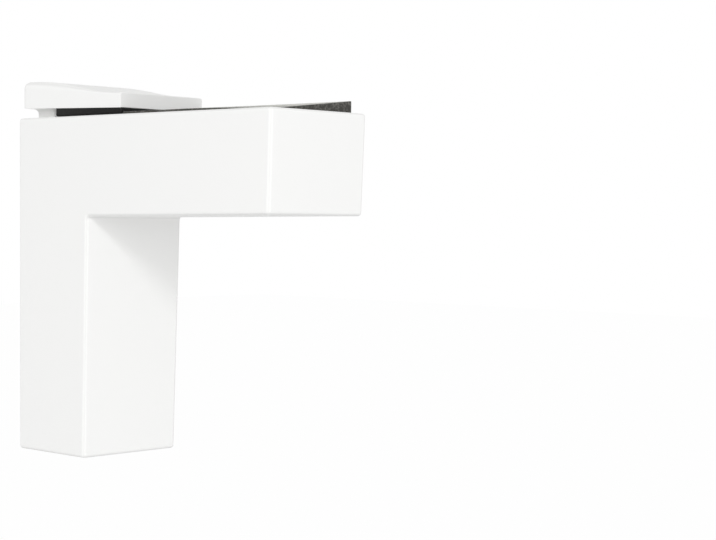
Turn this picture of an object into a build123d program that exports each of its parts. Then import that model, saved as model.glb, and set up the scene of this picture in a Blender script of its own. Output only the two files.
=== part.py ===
from build123d import *
from math import cos, pi, radians, tan
import os

# Frame: the origin is on the wall, midway between the two wall holes.
# +X leaves the wall, +Y runs along it and +Z is up. All sizes are millimetres.

# Casting, outside
reach = 125.2                  # wall to the tip of the arm, along the top
body_width = 43.2              # across the top face
body_height = 116.1            # top face down to the foot of the leg, at its front
arm_height = 34.0              # top face down to the arm's underside, at the leg
leg_depth = 37.4               # wall to the front of the leg, at the arm's underside
side_draft = 0.5               # degrees, each side narrows downwards
tip_draft = 1.8                # degrees, the tip leans back downwards
leg_draft = 1.1                # degrees, the leg's front leans back downwards
underside_rise = 0.7           # degrees, the arm's underside climbs to the tip
foot_fall = 0.2                # degrees, the foot falls from the wall to the leg's front
edge_radius = 1.2
wall = 3.0
core_draft = 0.8               # degrees, on the faces left by the cores

# Wall plate
hole_spacing = 60.0            # between the two wall holes
hole_radius = 2.6              # for a 5 mm wall screw
sink_radius = 4.2
plate_thickness = 2.5
plate_inset = 6.6              # plate's edge inside the casting's side
plate_below_deck = 8.0         # plate's upper edge below the top face
plate_corner = 3.0
hook_reach = 6.5
hook_width = 6.0
hook_clear = 3.0               # hooks and fork stay this far from the clamp screw
fork_gap = 6.5                 # fork above the seat block of the clamp screw
fork_overhang = 5.0            # fork past the middle of the lock screws

# Top face and the arm's pad
deck_above_hole = 20.0         # top face above the upper wall hole
pad_start = 52.0               # wall to the back end of the arm's pad
pad_tip_margin = 3.4           # pad's front end to the tip
pad_inset = 2.9                # pad's edge inside the casting's side
pad_seat = 1.2                 # depth of the pad's seat in the top face
pad_low = 0.3                  # pad above the top face at its low side
pad_high = 3.7                 # pad above the top face at its high side
pad_corner = 1.2
pad_fit = 0.15                 # gap round the pad in its seat
plug_height = 1.8
ledge = 4.5                    # width of the seat round the arm's pocket
pocket_radius = 2.0
arm_rib_height = 6.0
arm_rib_thickness = 1.8

# Moving jaw
jaw_length = 51.0
jaw_back_inset = 1.6           # jaw's side inside the casting's side, at the wall
jaw_front_inset = 3.2          # the same at the jaw's front
jaw_back_rise = 3.45           # jaw's underside above the top face at the wall
jaw_front_rise = 2.35          # the same at the jaw's front
jaw_back_crease = 10.5         # top of the jaw's flat side at the wall
jaw_front_crease = 6.75        # the same at the front
jaw_back_top = 12.8            # jaw's top above the top face at the wall
jaw_front_top = 7.4            # the same at the front
jaw_level = 4.0                # the top stays level this far from the wall
jaw_sections = 11
jaw_back_radius = 1.8
jaw_edge_radius = 0.25

# Stem of the jaw and its guide in the casting
stem_back = 3.0                # wall to the back of the stem
stem_thickness = 9.8
stem_inset = 5.95              # stem's side inside the casting's side
stem_length = 62.0             # below the top face when the jaw is down
stem_radius = 1.0
root_radius = 1.8              # between the stem and the jaw
slide_gap = 0.3                # all round the stem
guide_short = 2.0              # guide ends this far above the foot of the stem
ledge_gap = 4.0                # foot of the stem to the ledges over the hooks
web_inset = 6.8                # guide web's outer face inside the casting's side
web_thickness = 2.2
rib_thickness = 2.0
rib_count = 3
rib_start = 1.0

# Jaw's pad
jaw_pad_gap = 4.6              # front of the stem to the pad
jaw_pad_inset = 0.15           # pad's side inside the jaw's side
jaw_pad_clearance = 0.25       # pad above the top face when the jaw is down
peg_radius = 2.0
peg_height = 1.6
peg_spacing = 20.0
peg_fit = 0.05

# Clamp screw, its retaining ring and its seat in the foot
screw_radius = 3.0
running_gap = 0.05             # round the screw in its holes
screw_tip_depth = 14.0         # screw's tip below the top face
bore_tip_depth = 10.0          # end of the stem's bore below the top face
head_radius = 5.0
head_height = 6.0
head_gap = 0.3
seat_height = 8.0              # foot up to the shoulder that the head bears on
shoulder = 4.0
seat_wall = 2.7                # round the hole for the screw's head
hex_across = 5.0
hex_depth = 3.5
ring_radius = 5.0
ring_thickness = 1.0
ring_gap = 0.2
ring_opening = 4.2             # the ring is pushed on sideways through it
groove_radius = 2.4
groove_play = 0.1              # groove wider than the ring

# Lock screws that draw the casting down onto the plate's hooks
lock_radius = 2.5
lock_from_wall = 22.0
lock_wall = 1.7                # round the lock screws
lock_hex_across = 2.5
lock_hex_depth = 2.5
lock_recess = 1.5              # screw's outer end inside the foot

os.makedirs("parts", exist_ok=True)

# Heights and places worked out from the sizes above
half_spacing = hole_spacing / 2
deck = half_spacing + deck_above_hole
arm_foot = deck - arm_height
front_foot = deck - body_height
tip_drop = arm_height - (reach - leg_depth) * tan(radians(underside_rise))
tip_foot_x = reach - tip_drop * tan(radians(tip_draft))
leg_foot_x = leg_depth - (body_height - arm_height) * tan(radians(leg_draft))
back_foot = front_foot + leg_foot_x * tan(radians(foot_fall))
half_width = body_width / 2
pad_width = body_width - 2 * pad_inset
stem_width = body_width - 2 * stem_inset
plate_width = body_width - 2 * plate_inset
foot_half_width = half_width - (deck - front_foot) * tan(radians(side_draft))
pad_end = reach - pad_tip_margin
stem_front = stem_back + stem_thickness
stem_middle = stem_back + stem_thickness / 2
stem_foot = deck - stem_length
guide_length = stem_length - guide_short
jaw_pad_start = stem_front + jaw_pad_gap
shoulder_foot = back_foot + seat_height
shoulder_top = shoulder_foot + shoulder
leg_inner = leg_foot_x - wall
web_outer = half_width - web_inset
hook_inner = screw_radius + hook_clear
hook_outer = hook_inner + hook_width
hook_top = stem_foot - ledge_gap - rib_thickness
fork_foot = shoulder_top + fork_gap
fork_top = fork_foot + plate_thickness
lock_offset = (hook_inner + hook_outer) / 2
plate_top = deck - plate_below_deck
far = 2 * body_height          # longer than anything that is cut


def outline(points):
    """A face in the plane of symmetry from its corners."""
    with BuildSketch(Plane.XZ) as sketch:
        with BuildLine():
            Polyline(*points, close=True)
        make_face()
    return sketch.sketch


def across(low, high):
    """Two mirrored strips across the bracket, from |Y| = low to |Y| = high."""
    middle = (low + high) / 2
    return [(-middle, high - low), (middle, high - low)]


# Core that forms the hollow of the leg and the root of the arm, drawn out at the wall
root_end = pad_start - wall
with BuildPart() as back_core:
    core_corners = [
        (0, deck - wall),
        (root_end, deck - wall),
        (root_end, arm_foot + wall),
        (leg_depth - wall, arm_foot + wall),
        (leg_inner, back_foot + wall),
        (0, back_foot + wall),
    ]
    extrude(outline(core_corners), amount=half_width, both=True)
    with BuildSketch(Plane.YZ):
        with BuildLine():
            Polyline(
                (half_width - wall, deck),
                (foot_half_width - wall, front_foot),
                (wall - foot_half_width, front_foot),
                (wall - half_width, deck),
                close=True,
            )
        make_face()
    extrude(amount=reach, taper=core_draft, mode=Mode.INTERSECT)
    # Slots in the core leave the webs that guide the front of the stem
    for middle, thickness in across(web_outer - web_thickness, web_outer):
        with BuildSketch(Plane.XY.offset(deck)):
            with Locations((stem_front + slide_gap, middle)):
                Rectangle(reach, thickness, align=(Align.MIN, Align.CENTER))
        extrude(amount=-guide_length, mode=Mode.SUBTRACT)
    # Level ribs on both side walls guide the stem sideways
    rib_face = stem_width / 2 + slide_gap
    for step in range(rib_count):
        rib_top = deck - guide_length * (step + 1) / rib_count + rib_thickness
        for middle, depth in across(rib_face, half_width):
            with BuildSketch(Plane.XY.offset(rib_top)):
                with Locations((rib_start, middle)):
                    Rectangle(reach, depth, align=(Align.MIN, Align.CENTER))
            extrude(amount=-rib_thickness, mode=Mode.SUBTRACT)
    # Two ledges rest on the hooks of the wall plate
    for middle, depth in across(hook_inner - slide_gap, half_width):
        with BuildSketch(Plane.XY.offset(hook_top)):
            with Locations((plate_thickness + slide_gap, middle)):
                Rectangle(reach, depth, align=(Align.MIN, Align.CENTER))
        extrude(amount=rib_thickness, mode=Mode.SUBTRACT)
    # Seat block of the clamp screw
    with BuildSketch(Plane.XY.offset(shoulder_top)):
        seat_width = 2 * (head_radius + head_gap + seat_wall)
        Rectangle(reach, seat_width, align=(Align.MIN, Align.CENTER))
    extrude(amount=-far, mode=Mode.SUBTRACT)
    # Bosses of the lock screws
    with BuildSketch(Plane.XY.offset(shoulder_top)):
        with Locations((lock_from_wall, lock_offset), (lock_from_wall, -lock_offset)):
            Circle(lock_radius + lock_wall)
    extrude(amount=-far, mode=Mode.SUBTRACT)

# Core that forms the pocket of the arm, drawn out upwards under the pad
pocket_start = pad_start + ledge
pocket_end = pad_end - ledge
pocket_width = pad_width - 2 * ledge
pocket_depth = tip_drop - wall
with BuildPart() as arm_core:
    with BuildSketch(Plane.XY.offset(deck)):
        with Locations(((pocket_start + pocket_end) / 2, 0)):
            Rectangle(pocket_end - pocket_start, pocket_width)
    extrude(amount=-pocket_depth, taper=core_draft)
    fillet(arm_core.edges().filter_by(lambda edge: edge.center().Z < deck - 1), radius=pocket_radius)
    # Two long ribs stand on the floor of the pocket
    for middle, thickness in across(pocket_width / 6, pocket_width / 6 + arm_rib_thickness):
        with BuildSketch(Plane.XY.offset(deck - pocket_depth)):
            with Locations((pocket_start, middle)):
                Rectangle(reach, thickness, align=(Align.MIN, Align.CENTER))
        extrude(amount=arm_rib_height, mode=Mode.SUBTRACT)

# Casting: leg on the wall, arm under the shelf
with BuildPart() as bracket_body:
    body_corners = [
        (0, deck),
        (reach, deck),
        (tip_foot_x, deck - tip_drop),
        (leg_depth, arm_foot),
        (leg_foot_x, front_foot),
        (0, back_foot),
    ]
    extrude(outline(body_corners), amount=half_width, both=True)
    with BuildSketch(Plane.YZ):
        with BuildLine():
            Polyline(
                (half_width, deck),
                (foot_half_width, front_foot),
                (-foot_half_width, front_foot),
                (-half_width, deck),
                close=True,
            )
        make_face()
    extrude(amount=reach, mode=Mode.INTERSECT)
    fillet(bracket_body.edges(), radius=edge_radius)
    add(back_core.part, mode=Mode.SUBTRACT)
    # Seat of the arm's pad and the pocket below it
    with BuildSketch(Plane.XY.offset(deck)):
        with Locations(((pad_start + pad_end) / 2, 0)):
            RectangleRounded(
                pad_end - pad_start + 2 * pad_fit,
                pad_width + 2 * pad_fit,
                pad_corner + pad_fit,
            )
    extrude(amount=-pad_seat, mode=Mode.SUBTRACT)
    add(arm_core.part, mode=Mode.SUBTRACT)
    # Slot that the stem slides through
    with BuildSketch(Plane.XY.offset(deck)):
        with Locations((stem_middle, 0)):
            RectangleRounded(
                stem_thickness + 2 * slide_gap,
                stem_width + 2 * slide_gap,
                stem_radius + slide_gap,
            )
    extrude(amount=-2 * wall, mode=Mode.SUBTRACT)
    # Stepped hole of the clamp screw, open at the foot
    with BuildSketch(Plane.XY.offset(shoulder_top)):
        with Locations((stem_middle, 0)):
            Circle(screw_radius + running_gap)
    extrude(amount=-far, mode=Mode.SUBTRACT)
    with BuildSketch(Plane.XY.offset(shoulder_foot)):
        with Locations((stem_middle, 0)):
            Circle(head_radius + head_gap)
    extrude(amount=-far, mode=Mode.SUBTRACT)
    # Threaded holes of the two lock screws
    with BuildSketch(Plane.XY.offset(shoulder_top)):
        with Locations((lock_from_wall, lock_offset), (lock_from_wall, -lock_offset)):
            Circle(lock_radius + running_gap)
    extrude(amount=-far, mode=Mode.SUBTRACT)
bracket_body.part.label = "bracket_body"
export_step(bracket_body.part, "parts/bracket_body.step")


def along(start, end, x):
    """Height on the straight line from the jaw's back to its front."""
    return start + (end - start) * x / jaw_length


def jaw_top(x):
    """Height of the jaw's top: level at the wall, then a smooth sweep down to the front."""
    turn = max(0.0, (x - jaw_level) / (jaw_length - jaw_level))
    return jaw_back_top + (jaw_front_top - jaw_back_top) * (1 - cos(pi * turn)) / 2


def jaw_half_width(x):
    """Half of the jaw's width, which narrows towards its front."""
    return half_width - along(jaw_back_inset, jaw_front_inset, x)


# Moving jaw: a slab with a swept top, on a stem that hangs into the leg
with BuildPart() as clamp_jaw:
    for step in range(jaw_sections):
        x = jaw_length * step / (jaw_sections - 1)
        crease = along(jaw_back_crease, jaw_front_crease, x)
        with BuildSketch(Plane.YZ.offset(x)):
            with BuildLine():
                Polyline(
                    (-jaw_half_width(x), deck + along(jaw_back_rise, jaw_front_rise, x)),
                    (-jaw_half_width(x), deck + jaw_top(x)),
                    (jaw_half_width(x), deck + jaw_top(x)),
                    (jaw_half_width(x), deck + along(jaw_back_rise, jaw_front_rise, x)),
                    close=True,
                )
            section = make_face()
            fillet(section.vertices().group_by(Axis.Y)[-1], radius=jaw_top(x) - crease)
    loft(ruled=True)
    back_edges = clamp_jaw.faces().sort_by(Axis.X)[0].edges()
    fillet(back_edges, radius=jaw_back_radius)
    front_edges = clamp_jaw.faces().sort_by(Axis.X)[-1].edges()
    fillet(front_edges, radius=jaw_edge_radius)
    with BuildSketch(Plane.XY.offset(stem_foot)):
        with Locations((stem_middle, 0)):
            RectangleRounded(stem_thickness, stem_width, stem_radius)
    extrude(amount=stem_length + jaw_front_crease)
    root_edges = clamp_jaw.edges().filter_by(
        lambda edge: abs(edge.center().Y) < stem_width / 2 + root_radius
        and stem_back / 2 < edge.center().X < stem_front + root_radius
        and jaw_front_rise < edge.center().Z - deck < jaw_back_rise + root_radius
    )
    fillet(root_edges, radius=root_radius)
    # Bore for the clamp screw, from the foot of the stem
    with BuildSketch(Plane.XY.offset(stem_foot)):
        with Locations((stem_middle, 0)):
            Circle(screw_radius + running_gap)
    extrude(amount=stem_length - bore_tip_depth, mode=Mode.SUBTRACT)
    # Blind holes for the pegs of the pad
    peg_middle = (jaw_pad_start + jaw_length) / 2
    with BuildSketch(Plane.XY.offset(deck + jaw_back_rise + peg_height + peg_fit)):
        with Locations((peg_middle - peg_spacing / 2, 0), (peg_middle + peg_spacing / 2, 0)):
            Circle(peg_radius + peg_fit)
    extrude(amount=-2 * jaw_back_rise - peg_height, mode=Mode.SUBTRACT)
clamp_jaw.part.label = "clamp_jaw"
export_step(clamp_jaw.part, "parts/clamp_jaw.step")

# Rubber pad under the jaw, as a wedge that fills the jaw's slope
with BuildPart() as jaw_pad:
    jaw_pad_corners = [
        (jaw_pad_start, deck + jaw_pad_clearance),
        (jaw_length, deck + jaw_pad_clearance),
        (jaw_length, deck + along(jaw_back_rise, jaw_front_rise, jaw_length)),
        (jaw_pad_start, deck + along(jaw_back_rise, jaw_front_rise, jaw_pad_start)),
    ]
    extrude(outline(jaw_pad_corners), amount=half_width, both=True)
    with BuildSketch(Plane.XY.offset(deck)):
        with BuildLine():
            Polyline(
                (jaw_pad_start, jaw_half_width(jaw_pad_start) - jaw_pad_inset),
                (jaw_length, jaw_half_width(jaw_length) - jaw_pad_inset),
                (jaw_length, jaw_pad_inset - jaw_half_width(jaw_length)),
                (jaw_pad_start, jaw_pad_inset - jaw_half_width(jaw_pad_start)),
                close=True,
            )
        make_face()
    extrude(amount=jaw_back_rise, mode=Mode.INTERSECT)
    with BuildSketch(Plane.XY.offset(deck + jaw_back_rise + peg_height)):
        with Locations((peg_middle - peg_spacing / 2, 0), (peg_middle + peg_spacing / 2, 0)):
            Circle(peg_radius)
    extrude(amount=-jaw_back_rise - peg_height + jaw_front_rise / 2)
jaw_pad.part.label = "jaw_pad"
export_step(jaw_pad.part, "parts/jaw_pad.step")

# Rubber pad on the arm: its top climbs from one long side to the other
with BuildPart() as arm_pad:
    with BuildSketch(Plane.XY.offset(deck - pad_seat)):
        with Locations(((pad_start + pad_end) / 2, 0)):
            RectangleRounded(pad_end - pad_start, pad_width, pad_corner)
    extrude(amount=pad_seat + pad_high)
    with BuildSketch(Plane.YZ):
        with BuildLine():
            Polyline(
                (-pad_width / 2, deck - pad_seat),
                (pad_width / 2, deck - pad_seat),
                (pad_width / 2, deck + pad_high),
                (-pad_width / 2, deck + pad_low),
                close=True,
            )
        make_face()
    extrude(amount=reach, mode=Mode.INTERSECT)
    with BuildSketch(Plane.XY.offset(deck - pad_seat)):
        with Locations(((pocket_start + pocket_end) / 2, 0)):
            RectangleRounded(
                pocket_end - pocket_start - 2 * slide_gap,
                pocket_width - 2 * slide_gap,
                pocket_radius,
            )
    extrude(amount=-plug_height)
arm_pad.part.label = "arm_pad"
export_step(arm_pad.part, "parts/arm_pad.step")

# Clamp screw with a hexagon socket in its head
with BuildPart() as clamp_screw:
    with BuildSketch(Plane.XY.offset(shoulder_foot)):
        with Locations((stem_middle, 0)):
            Circle(head_radius)
    extrude(amount=-head_height)
    with BuildSketch(Plane.XY.offset(shoulder_foot)):
        with Locations((stem_middle, 0)):
            Circle(screw_radius)
    extrude(amount=deck - screw_tip_depth - shoulder_foot)
    tip_edge = clamp_screw.faces().sort_by(Axis.Z)[-1].edges()
    chamfer(tip_edge, length=screw_radius / 5)
    # Groove for the retaining ring
    with BuildSketch(Plane.XY.offset(shoulder_top + ring_gap - groove_play / 2)):
        with Locations((stem_middle, 0)):
            Circle(ring_radius)
            Circle(groove_radius, mode=Mode.SUBTRACT)
    extrude(amount=ring_thickness + groove_play, mode=Mode.SUBTRACT)
    with BuildSketch(Plane.XY.offset(shoulder_foot - head_height)):
        with Locations((stem_middle, 0)):
            RegularPolygon(hex_across / 2, 6, major_radius=False)
    extrude(amount=hex_depth, mode=Mode.SUBTRACT)
clamp_screw.part.label = "clamp_screw"
export_step(clamp_screw.part, "parts/clamp_screw.step")

# Open ring that keeps the screw in the foot when the jaw is driven up
with BuildPart() as retaining_ring:
    with BuildSketch(Plane.XY.offset(shoulder_top + ring_gap)):
        with Locations((stem_middle, 0)):
            Circle(ring_radius)
            Circle(groove_radius + running_gap, mode=Mode.SUBTRACT)
            Rectangle(
                ring_radius,
                ring_opening,
                align=(Align.MIN, Align.CENTER),
                mode=Mode.SUBTRACT,
            )
    extrude(amount=ring_thickness)
    mouth_edges = retaining_ring.edges().filter_by(Axis.Z)
    fillet(mouth_edges, radius=ring_thickness / 3)
retaining_ring.part.label = "retaining_ring"
export_step(retaining_ring.part, "parts/retaining_ring.step")

# Pressed plate that stays on the wall: two hooks and a forked foot
with BuildPart() as wall_plate:
    with BuildSketch(Plane.YZ):
        with Locations((0, (plate_top + fork_foot) / 2)):
            RectangleRounded(plate_width, plate_top - fork_foot, plate_corner)
    extrude(amount=plate_thickness)
    for middle, tongue in across(hook_inner, hook_outer):
        # Hook under the ledge of the casting
        with BuildSketch(Plane.XY.offset(hook_top)):
            with Locations((0, middle)):
                Rectangle(plate_thickness + hook_reach, tongue, align=(Align.MIN, Align.CENTER))
        extrude(amount=-plate_thickness)
        # Arm of the fork, which the lock screw bears on
        with BuildSketch(Plane.XY.offset(fork_top)):
            with Locations((0, middle)):
                Rectangle(lock_from_wall + fork_overhang, tongue, align=(Align.MIN, Align.CENTER))
        extrude(amount=-plate_thickness)
    with Locations(
        Plane((plate_thickness, 0, half_spacing), z_dir=(1, 0, 0)),
        Plane((plate_thickness, 0, -half_spacing), z_dir=(1, 0, 0)),
    ):
        CounterSinkHole(hole_radius, sink_radius)
wall_plate.part.label = "wall_plate"
export_step(wall_plate.part, "parts/wall_plate.step")

# Two headless lock screws, reached from the foot
lock_tip = fork_foot
lock_end = back_foot + lock_recess
with BuildPart() as lock_screws:
    with BuildSketch(Plane.XY.offset(lock_end)):
        with Locations((lock_from_wall, lock_offset), (lock_from_wall, -lock_offset)):
            Circle(lock_radius)
    extrude(amount=lock_tip - lock_end)
    with BuildSketch(Plane.XY.offset(lock_end)):
        with Locations((lock_from_wall, lock_offset), (lock_from_wall, -lock_offset)):
            RegularPolygon(lock_hex_across / 2, 6, major_radius=False)
    extrude(amount=lock_hex_depth, mode=Mode.SUBTRACT)
lock_screws.part.label = "lock_screws"
export_step(lock_screws.part, "parts/lock_screws.step")
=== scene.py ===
# %% [markdown]
# # Shelf clip
# A wall bracket with a sliding clamp jaw: a white painted casting, black rubber pads and plated screws.
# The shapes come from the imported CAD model, which is loaded here as a frame that nothing moves.
# This notebook gives every surface its finish, cuts the threads of the screws, moulds the two rubber pads,
# and sets up a small studio.
# All lengths are metres, so sizes that are easier to think of in millimetres are multiplied by MM.

# %% Load the frame
import math

import bmesh
import bpy
from mathutils import Matrix, Vector


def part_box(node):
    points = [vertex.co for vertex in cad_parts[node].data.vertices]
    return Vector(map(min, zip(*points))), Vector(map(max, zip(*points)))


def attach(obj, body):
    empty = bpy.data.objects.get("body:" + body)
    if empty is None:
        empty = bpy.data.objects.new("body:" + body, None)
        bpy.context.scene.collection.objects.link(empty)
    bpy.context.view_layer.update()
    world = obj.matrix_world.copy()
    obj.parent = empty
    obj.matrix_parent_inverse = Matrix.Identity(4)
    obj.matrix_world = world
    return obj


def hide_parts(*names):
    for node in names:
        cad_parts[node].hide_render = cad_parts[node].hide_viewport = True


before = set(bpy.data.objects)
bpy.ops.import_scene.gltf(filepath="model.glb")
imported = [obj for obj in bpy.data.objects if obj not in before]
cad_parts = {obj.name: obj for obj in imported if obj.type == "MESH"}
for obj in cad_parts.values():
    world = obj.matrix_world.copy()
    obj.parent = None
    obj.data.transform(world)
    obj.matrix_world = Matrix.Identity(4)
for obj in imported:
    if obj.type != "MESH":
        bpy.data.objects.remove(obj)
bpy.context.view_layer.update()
MM = 0.001
UP = Vector((0, 0, 1))


def add_object(name, data):
    """Makes an object of its data and puts it in the scene."""
    made = bpy.data.objects.new(name, data)
    bpy.context.scene.collection.objects.link(made)
    return made


# %% [markdown]
# ## Camera
# The bracket is seen from its right front, with a long lens at the height of its arm.
# The heading, tilt and roll come from how the straight edges of the casting run in the picture.
# A matrix of the three camera directions is used here, because a tracking constraint can't hold a roll.

# %% Camera
EYE = Vector((0.50720, -0.40194, 0.01650))
HEADING = math.radians(42.27)
TILT = math.radians(-1.68)
ROLL = math.radians(0.66)
SENSOR_WIDTH = 36.0
IMAGE_WIDTH = 716.0
FOCAL_PIXELS = 1773.6
NEAREST, FARTHEST = 0.05, 20.0


def camera_axes(heading, tilt, roll):
    """Right, up and forward of a camera that looks along +Y when all three angles are zero."""
    level_right = Vector((math.cos(heading), math.sin(heading), 0))
    level_forward = Vector((-math.sin(heading), math.cos(heading), 0))
    forward = level_forward * math.cos(tilt) + UP * math.sin(tilt)
    upright = level_right.cross(forward)
    right = level_right * math.cos(roll) + upright * math.sin(roll)
    return right, right.cross(forward), forward


right, up, forward = camera_axes(HEADING, TILT, ROLL)
camera_data = bpy.data.cameras.new("front_right")
camera_data.sensor_width = SENSOR_WIDTH
camera_data.lens = FOCAL_PIXELS * SENSOR_WIDTH / IMAGE_WIDTH
camera_data.clip_start = NEAREST
camera_data.clip_end = FARTHEST
camera = add_object("front_right", camera_data)
camera.rotation_mode = "QUATERNION"
camera.rotation_quaternion = Matrix((right, up, -forward)).transposed().to_quaternion()
camera.location = EYE
bpy.context.scene.camera = camera
print("lens", round(camera_data.lens, 1), "mm")

# %% [markdown]
# ## Shader maths in plain expressions
# A finish is easier to read as arithmetic than as a web of nodes.
# `Wire` wraps one output of a node and turns + - * into Math nodes.
# `Finish` is one material that is being made, and its `node` method makes every other kind of node.

# %% Wire and Finish
class Wire:
    """An output socket that can be used in sums."""

    def __init__(self, tree, socket):
        self.tree = tree
        self.socket = socket

    def _math(self, operation, first, second):
        node = self.tree.nodes.new("ShaderNodeMath")
        node.operation = operation
        for index, term in enumerate((first, second)):
            if isinstance(term, Wire):
                self.tree.links.new(term.socket, node.inputs[index])
            else:
                node.inputs[index].default_value = term
        return Wire(self.tree, node.outputs[0])

    def __add__(self, other):
        return self._math("ADD", self, other)

    __radd__ = __add__

    def __sub__(self, other):
        return self._math("SUBTRACT", self, other)

    def __rsub__(self, other):
        return self._math("SUBTRACT", other, self)

    def __mul__(self, other):
        return self._math("MULTIPLY", self, other)

    __rmul__ = __mul__


class Finish:
    """A node tree that is being filled, for a material or for the world."""

    def __init__(self, owner):
        owner.use_nodes = True
        self.owner = owner
        self.tree = owner.node_tree
        self.tree.nodes.clear()

    def node(self, kind, settings=None, inputs=None, output=0):
        """Adds a node, sets its settings first and then its sockets, and returns one output."""
        made = self.tree.nodes.new(kind)
        for name, value in (settings or {}).items():
            setattr(made, name, value)
        for name, value in (inputs or {}).items():
            if isinstance(value, Wire):
                self.tree.links.new(value.socket, made.inputs[name])
            else:
                made.inputs[name].default_value = value
        return Wire(self.tree, made.outputs[output]) if made.outputs else made

    def outputs(self, wire, names):
        """Several outputs of the node that a wire comes from."""
        return [Wire(self.tree, wire.socket.node.outputs[name]) for name in names]


print("shader helpers ready")

# %% [markdown]
# ## Patterns
# A few patterns come back in every finish: a soft random pattern, a colour between two colours, and a
# change of a value from one range to another. They measure places in the object's own metres, so a grain
# of half a millimetre is half a millimetre on every part, and it rides along when the jaw moves.
# The sockets of a Mix node for colours go by their numbers, because their names come back for other types.

# %% Patterns
MIX_FACTOR, MIX_FIRST, MIX_SECOND, MIX_RESULT = 0, 6, 7, 2


def place(finish, stretch=(1, 1, 1)):
    """A point's place in the object's own metres, stretched along each axis."""
    coordinates = finish.node("ShaderNodeTexCoord", output="Object")
    return finish.node("ShaderNodeMapping", None, {"Vector": coordinates, "Scale": stretch})


def noise(finish, size, detail=2.0, stretch=(1, 1, 1)):
    """A soft pattern from 0 to 1, whose blobs are about size across."""
    wanted = {"Vector": place(finish, stretch), "Scale": 1 / size, "Detail": detail}
    return finish.node("ShaderNodeTexNoise", None, wanted)


def between(finish, factor, first, second):
    """The colour that lies a share of the way from the first to the second."""
    wanted = {MIX_FACTOR: factor, MIX_FIRST: first, MIX_SECOND: second}
    return finish.node("ShaderNodeMix", {"data_type": "RGBA"}, wanted, MIX_RESULT)


def spread(finish, value, low, high, new_low=0.0, new_high=1.0):
    """The value carried from one range to another, and kept inside the second."""
    wanted = {"Value": value, "From Min": low, "From Max": high, "To Min": new_low, "To Max": new_high}
    return finish.node("ShaderNodeMapRange", None, wanted)


def largest(finish, values):
    """The largest of several values that aren't negative, or 0 where there are none."""
    result = 0.0
    for value in values:
        result = finish.node("ShaderNodeMath", {"operation": "MAXIMUM"}, {0: result, 1: value})
    return result


def surface(finish, sockets, height, strength, depth):
    """Ends a material with a Principled shader, bumped by depth metres where the height is 1."""
    wanted = {"Height": height, "Strength": strength, "Distance": depth}
    normal = finish.node("ShaderNodeBump", None, wanted)
    shader = finish.node("ShaderNodeBsdfPrincipled", None, dict(sockets, Normal=normal))
    finish.node("ShaderNodeOutputMaterial", None, {"Surface": shader})
    return finish.owner


print("patterns ready")

# %% [markdown]
# ## Where the paint is thin, and painted shade on the edges
# The casting and the jaw are sprayed with dry paint and baked. Inside the hollow of the leg the spray
# hardly reaches, so the coat is thinner there. A box in the object's own frame tells inside from outside.
# The rounded edges get painted shade: they are coloured a little darker, which dims the highlight that the
# lamps put along them. The flats of both castings face along one axis, and a rounded edge faces between two,
# so the largest part of the direction that a point faces tells them apart. A Bevel node finds edges too, but
# it is slow, and these need no more than a little arithmetic.

# %% Masks of the thin paint and the painted edge shade
BORDER = 0.8 * MM
FACING_FLAT, FACING_EDGE = 0.93, 0.75


def inside_box(finish, low, high):
    """1 inside a box given by two corners, 0 outside it, with a soft border."""
    split = finish.node("ShaderNodeSeparateXYZ", None, {"Vector": place(finish)})
    product = 1.0
    for axis, along in enumerate(finish.outputs(split, "XYZ")):
        product = spread(finish, along, low[axis] - BORDER, low[axis]) * product
        product = product * spread(finish, along, high[axis] + BORDER, high[axis])
    return product


def edge_shade_mask(finish):
    """1 in the middle of a rounded edge, 0 on the flats: where the painted edge shade goes."""
    normal = finish.node("ShaderNodeTexCoord", output="Normal")
    sizes = finish.node("ShaderNodeVectorMath", {"operation": "ABSOLUTE"}, {0: normal})
    split = finish.node("ShaderNodeSeparateXYZ", None, {"Vector": sizes})
    return spread(finish, largest(finish, finish.outputs(split, "XYZ")), FACING_FLAT, FACING_EDGE)


print("masks ready, with a border of", BORDER / MM, "mm")

# %% [markdown]
# ## White powder coat
# The melted paint flows into a skin with a faint orange peel, about a millimetre from crest to crest, and
# it is satin rather than glossy. In the hollow the coat is thin, so it is a little greyer there, and the
# grain of the casting shows through as well. The rounded edges are coloured a little darker, as painted
# shade that dims their highlight. The jaw is sprayed before it is put in, so its stem has the same coat all
# over, and it has no hollow.

# %% Powder coat
COAT_OUTSIDE = (0.905, 0.905, 0.895, 1)
COAT_CLOUDS = (0.885, 0.888, 0.884, 1)
COAT_INSIDE = (0.78, 0.78, 0.765, 1)
# Painted shade: the rounded edges are coloured this much darker than the flats, which dims their highlight.
EDGE_SHADE_FACTOR = 0.91
PAINTED_EDGE_SHADE = tuple(EDGE_SHADE_FACTOR * part for part in COAT_OUTSIDE[:3]) + (1,)
CLOUD, PEEL, GRAIN = 30 * MM, 1.1 * MM, 0.35 * MM
CLOUD_COLOUR = 0.35
SATIN, CLOUD_ROUGH, PEEL_ROUGH, HOLLOW_ROUGH = 0.6, 0.1, 0.06, 0.16
GRAIN_OUTSIDE, GRAIN_INSIDE = 0.12, 1.6
COAT_GLOSS, COAT_BUMP, COAT_DEPTH = 0.25, 0.35, 0.012 * MM


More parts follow.
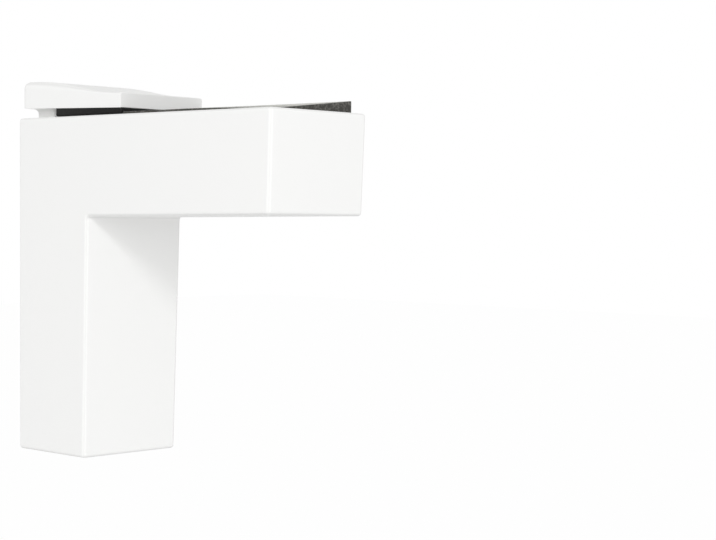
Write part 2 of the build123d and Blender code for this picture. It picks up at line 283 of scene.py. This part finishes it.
def powder_coat(name, hollows):
    """White powder coat, thinner in the hollows, with painted shade on its rounded edges. A hollow is a
    box's two corners.
    """
    finish = Finish(bpy.data.materials.new(name))
    hollow = largest(finish, [inside_box(finish, *box) for box in hollows])
    clouds = noise(finish, CLOUD)
    peel = noise(finish, PEEL, 1.0)
    grain = noise(finish, GRAIN, 3.0)
    flats = between(finish, clouds * CLOUD_COLOUR, COAT_OUTSIDE, COAT_CLOUDS)
    # Painted shade: the rounded edges take the darker colour.
    outside_with_edge_shade = between(finish, edge_shade_mask(finish), flats, PAINTED_EDGE_SHADE)
    colour = between(finish, hollow, outside_with_edge_shade, COAT_INSIDE)
    rough = SATIN + CLOUD_ROUGH * clouds + PEEL_ROUGH * peel + HOLLOW_ROUGH * hollow
    height = peel + grain * (GRAIN_OUTSIDE + GRAIN_INSIDE * hollow)
    sockets = {"Base Color": colour, "Roughness": rough, "Specular IOR Level": COAT_GLOSS}
    return surface(finish, sockets, height, COAT_BUMP, COAT_DEPTH)


body_low, body_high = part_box("bracket_body")
SKIN = 2.4 * MM
LEG_DEPTH = 37.4 * MM
ARM_FOOT = 16.0 * MM
ROOT_END = 49.0 * MM
leg_hollow = (
    (body_low.x - SKIN, body_low.y + SKIN, body_low.z + SKIN),
    (LEG_DEPTH - SKIN, body_high.y - SKIN, body_high.z - SKIN),
)
root_hollow = (
    (body_low.x - SKIN, body_low.y + SKIN, ARM_FOOT + SKIN),
    (ROOT_END, body_high.y - SKIN, body_high.z - SKIN),
)
casting_coat = powder_coat("powder_coat_casting", [leg_hollow, root_hollow])
jaw_coat = powder_coat("powder_coat_jaw", [])
print("powder coats ready")

# %% [markdown]
# ## Black rubber
# The two pads aren't quite alike. The arm's pad has a coarse dull grain, like the back of a floor mat:
# small pits between raised specks, and the raised specks are coloured paler than the pits. The jaw's pad is
# smoother and blacker, so light runs along its rounded corners. Seen almost along its surface, rubber dust
# scatters light like a very short nap, which is what sheen stands for in the Principled shader.

# %% Rubber
PEBBLES_PER_SPECK = 0.8
FINE_SHARE, PEBBLE_SHARE = 0.7, 0.3
SPECKS_START, SPECKS_FULL = 0.45, 0.62
FINE_ROUGH = 0.15
DUST_COLOUR, DUST_ROUGH = (0.95, 0.95, 0.9, 1), 0.2
RUBBER_BUMP = 0.8


def moulded_rubber(name, pit, raised, gloss, roughness, sheen, speck, depth):
    """Black rubber whose raised specks are paler than its pits, with bumps of a given size and depth."""
    finish = Finish(bpy.data.materials.new(name))
    grain = noise(finish, speck, 3.0)
    wanted = {"Vector": place(finish), "Scale": PEBBLES_PER_SPECK / speck}
    pebbles = finish.node("ShaderNodeTexVoronoi", None, wanted)
    height = grain * FINE_SHARE + (1.0 - pebbles) * PEBBLE_SHARE
    specks = spread(finish, height, SPECKS_START, SPECKS_FULL)
    sockets = {
        "Base Color": between(finish, specks, pit, raised),
        "Roughness": roughness + FINE_ROUGH * grain,
        "Specular IOR Level": gloss,
        "Sheen Weight": sheen,
        "Sheen Roughness": DUST_ROUGH,
        "Sheen Tint": DUST_COLOUR,
    }
    return surface(finish, sockets, height, RUBBER_BUMP, depth)


grained_rubber = moulded_rubber(
    "grained_rubber",
    pit=(0.045, 0.0435, 0.039, 1),
    raised=(0.13, 0.127, 0.116, 1),
    gloss=0.3,
    roughness=0.6,
    sheen=1.0,
    speck=0.75 * MM,
    depth=0.08 * MM,
)
smooth_rubber = moulded_rubber(
    "smooth_rubber",
    pit=(0.008, 0.008, 0.0075, 1),
    raised=(0.014, 0.014, 0.013, 1),
    gloss=0.12,
    roughness=0.32,
    sheen=0.0,
    speck=0.5 * MM,
    depth=0.015 * MM,
)
print("rubber ready")

# %% [markdown]
# ## Zinc plating
# The screws and the wall plate are steel with a bright zinc plating. Plating is a metal with a faint blue
# tint. The turned screws have a fine even grain, and the plate still shows the direction in which its
# sheet was rolled, so its pattern is stretched upwards.

# %% Plated steel
STREAK, SPANGLE = 0.5 * MM, 6 * MM
ZINC_DARK, ZINC_LIGHT = (0.66, 0.68, 0.70, 1), (0.78, 0.79, 0.79, 1)
STREAK_SHARE, SPANGLE_SHARE = 0.7, 0.3
PATTERN_LOW, PATTERN_HIGH = 0.3, 0.7
ZINC_BUMP, ZINC_DEPTH = 0.3, 0.01 * MM


def plated_steel(name, stretch, rough_low, rough_high):
    """Bright zinc on steel, with a grain that is stretched along one axis."""
    finish = Finish(bpy.data.materials.new(name))
    streaks = noise(finish, STREAK, 3.0, stretch)
    spangle = noise(finish, SPANGLE)
    pattern = streaks * STREAK_SHARE + spangle * SPANGLE_SHARE
    sockets = {
        "Base Color": between(finish, spangle, ZINC_DARK, ZINC_LIGHT),
        "Roughness": spread(finish, pattern, PATTERN_LOW, PATTERN_HIGH, rough_low, rough_high),
        "Metallic": 1.0,
    }
    return surface(finish, sockets, streaks, ZINC_BUMP, ZINC_DEPTH)


screw_steel = plated_steel("zinc_turned", (1, 1, 1), 0.22, 0.38)
sheet_steel = plated_steel("zinc_rolled", (1, 1, 0.04), 0.26, 0.46)
print("plating ready")

# %% [markdown]
# ## Finishes on the CAD parts
# Four CAD nodes have the right shape already: the two castings, the ring and the plate. They stay, and
# only their material slots change. The screws and the pads are made anew below.

# %% Paint the CAD parts
FINISHES = {
    "bracket_body": casting_coat,
    "clamp_jaw": jaw_coat,
    "retaining_ring": screw_steel,
    "wall_plate": sheet_steel,
}
for name, finish in FINISHES.items():
    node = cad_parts[name]
    if not node.material_slots:
        node.data.materials.append(finish)
    for slot in node.material_slots:
        slot.material = finish
print("finished", len(FINISHES), "CAD parts")

# %% [markdown]
# ## Turned shapes
# A screw's shank, head and socket are round, or nearly so. They are built as rings of points round the
# screw's axis, and bands of faces join the rings. The radius of a ring is a number, or a function of the
# angle, which makes a hexagon or a knurl of the same ring.

# %% Rings and bands
def round_axis(centre, radius, angle):
    """The place at a radius and an angle round a vertical axis."""
    return centre[0] + radius * math.cos(angle), centre[1] + radius * math.sin(angle)


def ring(mesh, centre, z, radius, count):
    """A ring of points round a vertical axis. The radius is a number or a function of the angle."""
    made = []
    for step in range(count):
        angle = math.tau * step / count
        r = radius(angle) if callable(radius) else radius
        made.append(mesh.verts.new((*round_axis(centre, r, angle), z)))
    return made


def join_rings(mesh, first, second):
    """A band of faces between two rings, of which one may have a whole multiple of the other's points."""
    if len(first) > len(second):
        first, second = second, first
    ratio = len(second) // len(first)
    for step, corner in enumerate(first):
        following = first[(step + 1) % len(first)]
        outer = [second[(step * ratio + k) % len(second)] for k in range(ratio + 1)]
        if ratio == 1:
            mesh.faces.new((corner, following, outer[1], outer[0]))
            continue
        half = ratio // 2
        for k in range(ratio):
            mesh.faces.new((corner if k < half else following, outer[k + 1], outer[k]))
        mesh.faces.new((corner, following, outer[half]))


def lathe(mesh, centre, stations):
    """Rings joined in a row, and the first and last ring. A station is (z, radius, count)."""
    rings = [ring(mesh, centre, *station) for station in stations]
    for first, second in zip(rings, rings[1:]):
        join_rings(mesh, first, second)
    return rings[0], rings[-1]


def hexagon(across):
    """The radius of a hexagon of this width across its flats, as a function of the angle."""
    def radius(angle):
        return across / 2 / math.cos(angle % (math.tau / 6) - math.tau / 12)
    return radius


print("ring helpers ready")

# %% [markdown]
# ## Threads
# The CAD screws are plain cylinders at the threads' outer size. A real thread is a ridge that climbs one
# pitch in each turn. It is built as a band of points that follows the helix, and all points beyond either
# end of the thread are pushed onto that end, where equal points merge into one clean ring. A Screw
# modifier winds a helix too, but it leaves both ends open, and here they have to meet the plain shank.
# The ridge is listed as shares of the pitch, and how far each of them rises from the root to the crest.

# %% Thread
RIDGE = [(0.0, 0.0), (0.3125, 1.0), (0.4375, 1.0), (0.75, 0.0)]


def thread(mesh, centre, bottom, top, root, crest, pitch, count):
    """A thread between two heights. It starts and ends as a ring at the root's radius."""
    turns = math.ceil((top - bottom) / pitch) + 2
    rows = []
    for step in range(turns * count + 1):
        angle = math.tau * step / count
        row = []
        for share, rise in RIDGE:
            z = bottom + pitch * (step / count - 1 + share)
            fade = max(0.0, min(1.0, (z - bottom) / pitch, (top - z) / pitch))
            spot = round_axis(centre, root + (crest - root) * rise * fade, angle)
            row.append(mesh.verts.new((*spot, max(bottom, min(top, z)))))
        rows.append(row)
    for step in range(len(rows) - 1):
        here, ahead = list(rows[step]), list(rows[step + 1])
        if step + 1 + count < len(rows):
            here.append(rows[step + count][0])
            ahead.append(rows[step + 1 + count][0])
        for k in range(len(here) - 1):
            mesh.faces.new((here[k], ahead[k], ahead[k + 1], here[k + 1]))


print("thread helper ready, with", len(RIDGE), "points a ridge")

# %% [markdown]
# ## From points to a piece
# Every piece that is made here ends in the same way. Equal points merge, all faces turn outwards, and the
# shading runs smoothly over each edge that is blunter than a set angle. A closed skin has no open edges,
# so their number is printed as a check.

# %% Finished piece
TURNED_SHARP, MOULDED_SHARP = 30.0, 40.0
SAME_POINT = 1e-6


def finished_piece(name, mesh, finish, sharp):
    """Merges equal points, turns all faces outwards and makes an object of the mesh."""
    bmesh.ops.remove_doubles(mesh, verts=mesh.verts, dist=SAME_POINT)
    bmesh.ops.recalc_face_normals(mesh, faces=mesh.faces)
    open_edges = sum(1 for edge in mesh.edges if not edge.is_manifold)
    data = bpy.data.meshes.new(name)
    mesh.to_mesh(data)
    mesh.free()
    data.shade_smooth()
    data.set_sharp_from_angle(angle=math.radians(sharp))
    data.materials.append(finish)
    print(name, len(data.polygons), "faces,", open_edges, "open edges")
    return add_object(name, data)


print("pieces merge points closer than", SAME_POINT / MM, "mm")

# %% [markdown]
# ## Clamp screw
# This is an M6 screw with a hexagon socket and a knurled head, seen from below in the foot of the leg.
# The thread climbs 1 mm a turn. The knurl is a ring whose radius rises and falls as it goes round.
# The groove takes the ring that keeps the screw in the foot when the jaw is driven up.

# %% Clamp screw
SCREW_ROUND, HEAD_ROUND, DRILL_ROUND = 24, 144, 12
KNURLS, KNURL_MIDDLE, KNURL_RISE = 36, 4.91, 0.09
HEAD_HEIGHT, HEAD_NECK = 6 * MM, 4.82 * MM
HEAD_SOCKET = hexagon(5 * MM)
M6_CREST, M6_ROOT, M6_PITCH = 3.0 * MM, 2.387 * MM, 1.0 * MM
SHANK = 12 * MM
GROOVE, GROOVE_START, GROOVE_END = 2.4 * MM, 4.15 * MM, 5.25 * MM
RUN_OUT, LEAD = 0.4 * MM, 0.6 * MM


def knurl(angle):
    """The knurled head: 36 ridges between 4.82 and 5.0 mm."""
    return (KNURL_MIDDLE + KNURL_RISE * math.cos(KNURLS * angle)) * MM


screw_low, screw_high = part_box("clamp_screw")
axis = ((screw_low.x + screw_high.x) / 2, 0.0)
foot, tip = screw_low.z, screw_high.z
head_top = foot + HEAD_HEIGHT
thread_start = head_top + SHANK
mesh = bmesh.new()
floor_ring, _ = lathe(mesh, axis, [
    (foot + 4.3 * MM, 0.4 * MM, SCREW_ROUND),
    (foot + 3.5 * MM, 2.35 * MM, HEAD_ROUND),
    (foot + 3.4 * MM, HEAD_SOCKET, HEAD_ROUND),
    (foot + 0.3 * MM, HEAD_SOCKET, HEAD_ROUND),
    (foot, 2.98 * MM, HEAD_ROUND),
    (foot, 4.5 * MM, HEAD_ROUND),
    (foot + 0.12 * MM, 4.72 * MM, HEAD_ROUND),
    (foot + 0.35 * MM, HEAD_NECK, HEAD_ROUND),
    (foot + 0.7 * MM, knurl, HEAD_ROUND),
    (head_top - 0.6 * MM, knurl, HEAD_ROUND),
    (head_top - 0.3 * MM, HEAD_NECK, HEAD_ROUND),
    (head_top, 4.7 * MM, HEAD_ROUND),
    (head_top, M6_CREST, SCREW_ROUND),
    (head_top + GROOVE_START, M6_CREST, SCREW_ROUND),
    (head_top + GROOVE_START, GROOVE, SCREW_ROUND),
    (head_top + GROOVE_END, GROOVE, SCREW_ROUND),
    (head_top + GROOVE_END, M6_CREST, SCREW_ROUND),
    (thread_start - RUN_OUT, M6_CREST, SCREW_ROUND),
    (thread_start, M6_ROOT, SCREW_ROUND),
])
mesh.faces.new(floor_ring)
thread(mesh, axis, thread_start, tip - LEAD, M6_ROOT, M6_CREST, M6_PITCH, SCREW_ROUND)
_, tip_ring = lathe(mesh, axis, [
    (tip - LEAD, M6_ROOT, SCREW_ROUND),
    (tip, 2.0 * MM, SCREW_ROUND),
])
mesh.faces.new(tip_ring)
clamp_screw = finished_piece("clamp_screw_threaded", mesh, screw_steel, TURNED_SHARP)
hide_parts("clamp_screw")
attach(clamp_screw, "screw")

# %% [markdown]
# ## Lock screws
# Two headless M5 screws press on the fork of the wall plate and pull the casting down onto its hooks.
# Both are one piece here, because they are one node of the CAD model.

# %% Lock screws
M5_CREST, M5_ROOT, M5_PITCH = 2.5 * MM, 2.01 * MM, 0.8 * MM
LOCK_SOCKET = hexagon(2.5 * MM)
FOOT_BEVEL = 0.3 * MM
lock_low, lock_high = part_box("lock_screws")
lock_x = (lock_low.x + lock_high.x) / 2
lock_y = lock_high.y - M5_CREST
mesh = bmesh.new()
for side in (-1, 1):
    axis = (lock_x, side * lock_y)
    foot, tip = lock_low.z, lock_high.z
    floor_ring, _ = lathe(mesh, axis, [
        (foot + 2.9 * MM, 0.2 * MM, DRILL_ROUND),
        (foot + 2.5 * MM, 1.15 * MM, SCREW_ROUND),
        (foot + 2.4 * MM, LOCK_SOCKET, SCREW_ROUND),
        (foot + 0.2 * MM, LOCK_SOCKET, SCREW_ROUND),
        (foot, 1.55 * MM, SCREW_ROUND),
        (foot, 1.75 * MM, SCREW_ROUND),
        (foot + FOOT_BEVEL, M5_ROOT, SCREW_ROUND),
    ])
    mesh.faces.new(floor_ring)
    thread(mesh, axis, foot + FOOT_BEVEL, tip - LEAD, M5_ROOT, M5_CREST, M5_PITCH, SCREW_ROUND)
    _, cup = lathe(mesh, axis, [
        (tip - LEAD, M5_ROOT, SCREW_ROUND),
        (tip, 1.45 * MM, SCREW_ROUND),
        (tip, 1.25 * MM, SCREW_ROUND),
        (tip - 0.5 * MM, 0.3 * MM, DRILL_ROUND),
    ])
    mesh.faces.new(cup)
lock_screws = finished_piece("lock_screws_threaded", mesh, screw_steel, TURNED_SHARP)
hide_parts("lock_screws")
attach(lock_screws, "casting")

# %% [markdown]
# ## Moulded pads
# A moulded pad has no sharp edge: the tool rounds each one a little, and light runs along that roundness.
# A pad is made here as a stack of closed outlines, from its underside up over the rounded edge to its top.
# All outlines of a stack have the same number of points, so a band of four-sided faces joins each pair.
# A bevel modifier would do it too, but here the top edge runs on a slope and the outlines can also
# take in the plug under the pad, so that the whole pad is one closed skin.

# %% Outlines of a pad
CORNER_STEPS = 5
EDGE_STEPS = 4


def pad_outline(corners, radius, inset=0.0):
    """A four-cornered outline with round corners, pulled in evenly by an inset below the radius."""
    points = []
    for index, corner in enumerate(corners):
        arriving = (corner - corners[index - 1]).normalized()
        leaving = (corners[(index + 1) % len(corners)] - corner).normalized()
        inward = (leaving - arriving).normalized()
        centre = corner + inward * radius / math.sin(leaving.angle(-arriving) / 2)
        start = Vector((arriving.y, -arriving.x))
        end = Vector((leaving.y, -leaving.x))
        for step in range(CORNER_STEPS + 1):
            points.append(centre + start.slerp(end, step / CORNER_STEPS) * (radius - inset))
    return points


def pad_level(mesh, points, height):
    """A ring of points, each at the height that a function gives for its place."""
    return [mesh.verts.new((point.x, point.y, height(point))) for point in points]


def closed_stack(mesh, levels):
    """Joins the rings of a stack and closes its two ends."""
    for first, second in zip(levels, levels[1:]):
        join_rings(mesh, first, second)
    mesh.faces.new(levels[0])
    mesh.faces.new(levels[-1])


def rounded_edge(mesh, corners, radius, edge, height, turn):
    """The rings of a rounded edge: up to the pad's flat top (turn 1), or up from its flat foot (turn -1)."""
    levels = []
    for step in range(EDGE_STEPS + 1):
        angle = (step / EDGE_STEPS if turn > 0 else 1 - step / EDGE_STEPS) * math.pi / 2
        points = pad_outline(corners, radius, edge * (1 - math.cos(angle)))
        lift = turn * edge * (math.sin(angle) - 1)
        levels.append(pad_level(mesh, points, lambda point: height(point) + lift))
    return levels


print("pad helpers ready")

# %% [markdown]
# ## Pad of the arm
# The shelf lies on this pad. Its top climbs from one long side to the other, and its foot is a plug that
# sits in the pocket of the arm, so that the pad can't slide off. Its low front corner is pressed down, as
# a load at the tip would leave it. For that the finished stack is cut across into slices, and each point
# goes down by its share. A lattice would bend it too, but a sum says exactly where the bend begins.

# %% Pad of the arm
arm_pad_low, arm_pad_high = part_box("arm_pad")
PAD_SEAT, PAD_LOW, PAD_HIGH = 48.8 * MM, 50.85 * MM, 54.0 * MM
SINK_START, SINK_DEPTH, SLICE = 82.0 * MM, 1.15 * MM, 4.0 * MM
PAD_CORNER, PAD_EDGE, FOOT_EDGE = 1.2 * MM, 0.25 * MM, 0.2 * MM
PLUG_MARGIN, PLUG_CORNER = 4.8 * MM, 2.0 * MM


def rectangle(low, high, margin):
    """Four corners, counted against the clock, a margin inside the box of two points."""
    west, south = low.x + margin, low.y + margin
    east, north = high.x - margin, high.y - margin
    return [Vector(corner) for corner in ((west, south), (east, south), (east, north), (west, north))]


def pad_top(point):
    """The sloped top of the arm's pad."""
    share = (point.y - arm_pad_low.y) / (arm_pad_high.y - arm_pad_low.y)
    return PAD_LOW + (PAD_HIGH - PAD_LOW) * share


def sink(point):
    """How far the pad's low front corner has been pressed down."""
    share = (arm_pad_high.y - point.y) / (arm_pad_high.y - arm_pad_low.y)
    turn = max(0.0, (point.x - SINK_START) / (arm_pad_high.x - SINK_START))
    return SINK_DEPTH * share * (1 - math.cos(turn * math.pi / 2))


pad_corners = rectangle(arm_pad_low, arm_pad_high, 0.0)
plug_corners = rectangle(arm_pad_low, arm_pad_high, PLUG_MARGIN)
mesh = bmesh.new()
closed_stack(mesh, [
    *rounded_edge(mesh, plug_corners, PLUG_CORNER, PAD_EDGE, lambda point: arm_pad_low.z, -1),
    pad_level(mesh, pad_outline(plug_corners, PLUG_CORNER), lambda point: PAD_SEAT),
    *rounded_edge(mesh, pad_corners, PAD_CORNER, FOOT_EDGE, lambda point: PAD_SEAT, -1),
    *rounded_edge(mesh, pad_corners, PAD_CORNER, PAD_EDGE, pad_top, 1),
])
cut = SINK_START
while cut < arm_pad_high.x:
    everything = mesh.verts[:] + mesh.edges[:] + mesh.faces[:]
    bmesh.ops.bisect_plane(mesh, geom=everything, plane_co=(cut, 0, 0), plane_no=(1, 0, 0))
    cut += SLICE
for vert in mesh.verts:
    height = (vert.co.z - PAD_SEAT) / (pad_top(vert.co) - PAD_SEAT)
    vert.co.z -= sink(vert.co) * max(0.0, height)
arm_pad = finished_piece("arm_pad_moulded", mesh, grained_rubber, MOULDED_SHARP)
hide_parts("arm_pad")
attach(arm_pad, "casting")

# %% [markdown]
# ## Pad of the jaw
# This wedge fills the slope under the jaw, so that it meets the shelf flat. Two pegs are pressed into blind
# holes of the jaw. They are joined to the pad with a Boolean modifier, which leaves one closed skin.

# %% Pad of the jaw
JAW_LENGTH, JAW_HALF_BACK, JAW_HALF_FRONT = 51.0 * MM, 19.85 * MM, 18.25 * MM
JAW_RISE_BACK, JAW_RISE_FRONT = 53.45 * MM, 52.35 * MM
JAW_PAD_START = 17.4 * MM
JAW_PAD_CORNER, JAW_PAD_EDGE, JAW_PAD_LIP = 1.0 * MM, 0.6 * MM, 0.1 * MM
PEG, PEG_SPACING, PEG_ROOT, PEG_BEVEL = 2.0 * MM, 20.0 * MM, 1.0 * MM, 0.3 * MM
jaw_pad_low, jaw_pad_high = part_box("jaw_pad")


def along_jaw(back, front, x):
    """A value on the straight line from the jaw's back to its front."""
    return back + (front - back) * x / JAW_LENGTH


def jaw_underside(point):
    """The height of the sloped face under the jaw, which the pad lies against."""
    return along_jaw(JAW_RISE_BACK, JAW_RISE_FRONT, point.x)


start_half = along_jaw(JAW_HALF_BACK, JAW_HALF_FRONT, JAW_PAD_START)
jaw_pad_corners = [Vector(corner) for corner in (
    (JAW_PAD_START, -start_half),
    (JAW_LENGTH, -JAW_HALF_FRONT),
    (JAW_LENGTH, JAW_HALF_FRONT),
    (JAW_PAD_START, start_half),
)]
mesh = bmesh.new()
closed_stack(mesh, [
    *rounded_edge(mesh, jaw_pad_corners, JAW_PAD_CORNER, JAW_PAD_EDGE, lambda point: jaw_pad_low.z, -1),
    *rounded_edge(mesh, jaw_pad_corners, JAW_PAD_CORNER, JAW_PAD_LIP, jaw_underside, 1),
])
jaw_pad = finished_piece("jaw_pad_moulded", mesh, smooth_rubber, MOULDED_SHARP)
for side in (-1, 1):
    mesh = bmesh.new()
    peg_x = (JAW_PAD_START + JAW_LENGTH + side * PEG_SPACING) / 2
    base, top = lathe(mesh, (peg_x, 0.0), [
        (jaw_pad_low.z + PEG_ROOT, PEG, SCREW_ROUND),
        (jaw_pad_high.z - PEG_BEVEL, PEG, SCREW_ROUND),
        (jaw_pad_high.z, PEG - PEG_BEVEL, SCREW_ROUND),
    ])
    mesh.faces.new(base)
    mesh.faces.new(top)
    peg = finished_piece("peg", mesh, smooth_rubber, MOULDED_SHARP)
    union = jaw_pad.modifiers.new("peg", "BOOLEAN")
    union.operation = "UNION"
    union.object = peg
    bpy.context.view_layer.update()
    joined = jaw_pad.evaluated_get(bpy.context.evaluated_depsgraph_get())
    fused = bpy.data.meshes.new_from_object(joined)
    jaw_pad.modifiers.clear()
    jaw_pad.data = fused
    bpy.data.objects.remove(peg)
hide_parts("jaw_pad")
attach(jaw_pad, "jaw")
print("jaw pad", len(jaw_pad.data.polygons), "faces with its pegs")

# %% [markdown]
# ## Floor
# The bracket hangs on a wall that isn't shown, so the floor is far below it. To the camera its material is
# nearly plain white, and it still darkens a little under a shadow. For rays that only carry light it is
# matt, so it sends soft light up to the bracket.

# %% Floor
FLOOR_Z, FLOOR_SIZE = -0.75, 12.0
FLOOR_WHITE = 0.975
FLOOR_MATT = (0.95, 0.95, 0.95, 1)
WHITE = (1, 1, 1, 1)
SEEN_BY = ("Is Camera Ray", "Is Glossy Ray", "Is Transmission Ray")


def seen(finish):
    """1 where a ray comes from the camera, a mirror or glass, 0 where it only carries light."""
    from_camera, from_mirror, from_glass = finish.outputs(finish.node("ShaderNodeLightPath"), SEEN_BY)
    return from_camera + from_mirror + from_glass


def pale_floor(z, size):
    """A large pale plane that only the camera and mirrors see as white."""
    finish = Finish(bpy.data.materials.new("pale_floor"))
    matt = finish.node("ShaderNodeBsdfDiffuse", None, {"Color": FLOOR_MATT})
    white = finish.node("ShaderNodeEmission", None, {"Color": WHITE, "Strength": 1.0})
    wanted = {0: seen(finish) * FLOOR_WHITE, 1: matt, 2: white}
    mixed = finish.node("ShaderNodeMixShader", None, wanted)
    finish.node("ShaderNodeOutputMaterial", None, {"Surface": mixed})
    corners = [(-size, -size, z), (size, -size, z), (size, size, z), (-size, size, z)]
    data = bpy.data.meshes.new("pale_floor")
    data.from_pydata(corners, [], [(0, 1, 2, 3)])
    data.materials.append(finish.owner)
    return add_object("pale_floor", data)


pale_floor(FLOOR_Z, FLOOR_SIZE)
print("floor at", FLOOR_Z)

# %% [markdown]
# ## Light
# The picture looks as if it was taken in a light tent: light comes softly from everywhere, and one softbox
# above throws the soft shadow of the arm onto the leg. A larger and lower one beside the camera lights the
# front of the jaw, which the dark pad before it would leave grey. The world gives the even part.
# For the camera and for mirrors the world is plain white. Each softbox has its place, its width and its
# power in watts.

# %% World and lamps
WORLD_LEVEL = 0.67
WORLD_TILT = 0.3
BRIGHT_SIDE = (0.74, -0.66, 0.25)
AIM = (0.04, 0, 0)
SOFTBOXES = {
    "softbox_key": ((1.155, -0.957, 0.693), 0.3, 5.2),
    "softbox_fill": ((1.65, -1.50, 0.45), 1.2, 8.5),
}


def light_tent(level, tilt, bright_side):
    """A soft world that is a little brighter on one side, and white where it is seen directly."""
    world = bpy.data.worlds.new("light_tent")
    bpy.context.scene.world = world
    finish = Finish(world)
    towards = finish.node("ShaderNodeTexCoord", output="Generated")
    wanted = {0: towards, 1: bright_side}
    facing = finish.node("ShaderNodeVectorMath", {"operation": "DOT_PRODUCT"}, wanted, "Value")
    light = level * (1.0 + tilt * facing)
    strength = light + (1.0 - light) * spread(finish, seen(finish), 0, 1)
    sky = finish.node("ShaderNodeBackground", None, {"Color": WHITE, "Strength": strength})
    finish.node("ShaderNodeOutputWorld", None, {"Surface": sky})


def softbox(name, location, size, power):
    """A square lamp that faces the bracket."""
    data = bpy.data.lights.new(name, "AREA")
    data.shape = "SQUARE"
    data.size = size
    data.energy = power
    lamp = add_object(name, data)
    lamp.location = location
    lamp.rotation_mode = "QUATERNION"
    lamp.rotation_quaternion = (Vector(AIM) - Vector(location)).to_track_quat("-Z", "Y")


light_tent(WORLD_LEVEL, WORLD_TILT, BRIGHT_SIDE)
for name, facts in SOFTBOXES.items():
    softbox(name, *facts)
bpy.context.scene.view_settings.view_transform = "Standard"
print("softboxes", sorted(SOFTBOXES))
